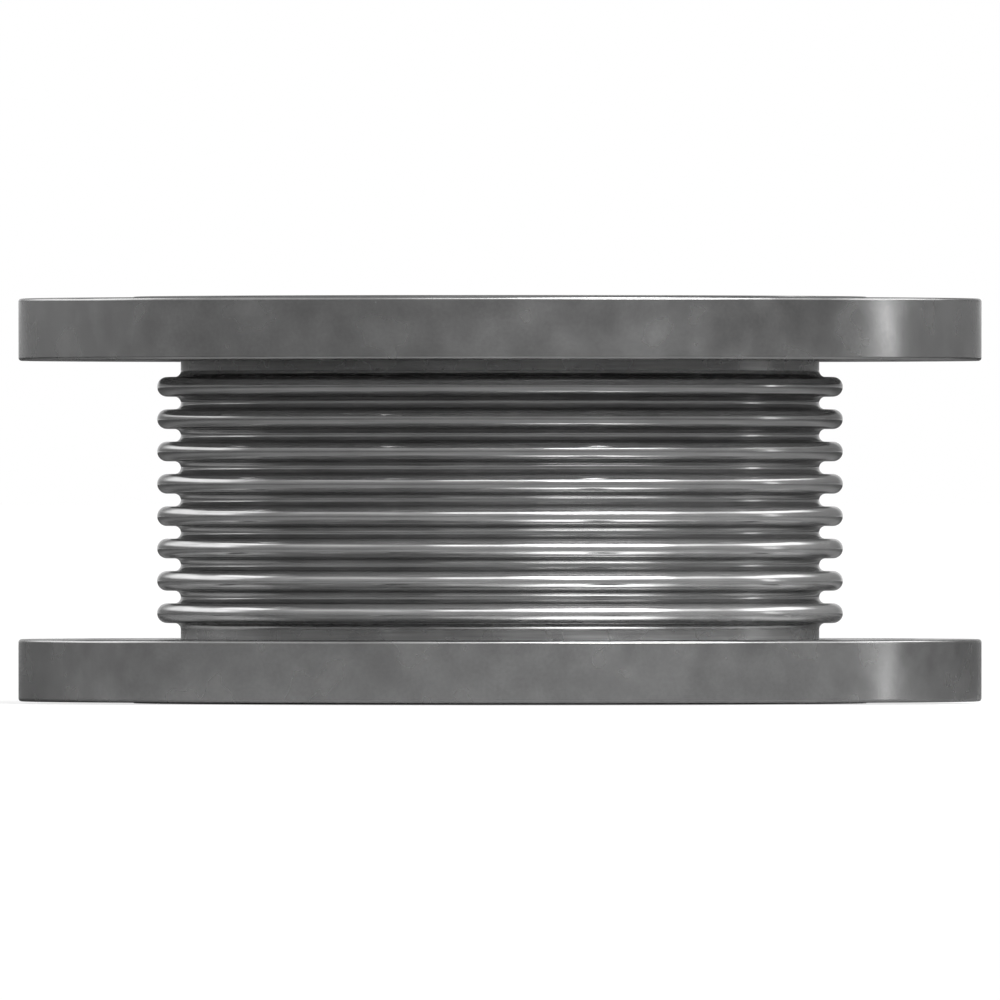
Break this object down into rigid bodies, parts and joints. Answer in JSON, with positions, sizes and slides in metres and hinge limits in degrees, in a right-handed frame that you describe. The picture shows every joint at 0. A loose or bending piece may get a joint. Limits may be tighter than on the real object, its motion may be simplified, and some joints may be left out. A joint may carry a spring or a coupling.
{
  "type": "exhaust bellows",
  "caption": "Flanged metal exhaust bellows: a corrugated steel tube welded between two thick bolted flanges, with a flow liner inside.",
  "frame": {"origin": "centre of the lower flange's gasket face, on the bellows' axis", "axes": "+Z along the bellows' axis, the way the gas flows, from the lower inlet flange to the upper outlet flange"},
  "size_m": [0.305, 0.305, 0.1287],
  "materials": {
    "flange_steel": "turned plate steel, mid grey, with a soft satin sheen",
    "bellows_steel": "formed stainless sheet, smooth, with bright streaks along the convolutions",
    "liner_steel": "rolled stainless sheet with a dull mill finish",
    "weld_metal": "fine rippled weld bead, slightly darker than the sheet"
  },
  "bodies": {
    "lower_end": {"lower_flange": "flange_steel", "bellows": "bellows_steel", "flow_liner": "liner_steel", "lower_neck_weld": "weld_metal", "liner_weld": "weld_metal"},
    "upper_end": {"upper_flange": "flange_steel", "upper_neck_weld": "weld_metal"}
  },
  "joints": [
    {"name": "axial_flex", "type": "slide", "parent": "lower_end", "child": "upper_end", "axis": [0, 0, 1], "range_m": [-0.008, 0.004], "stiffness_N_per_m": 400000, "springref_m": 0.00015, "deforming": ["bellows"]}
  ]
}
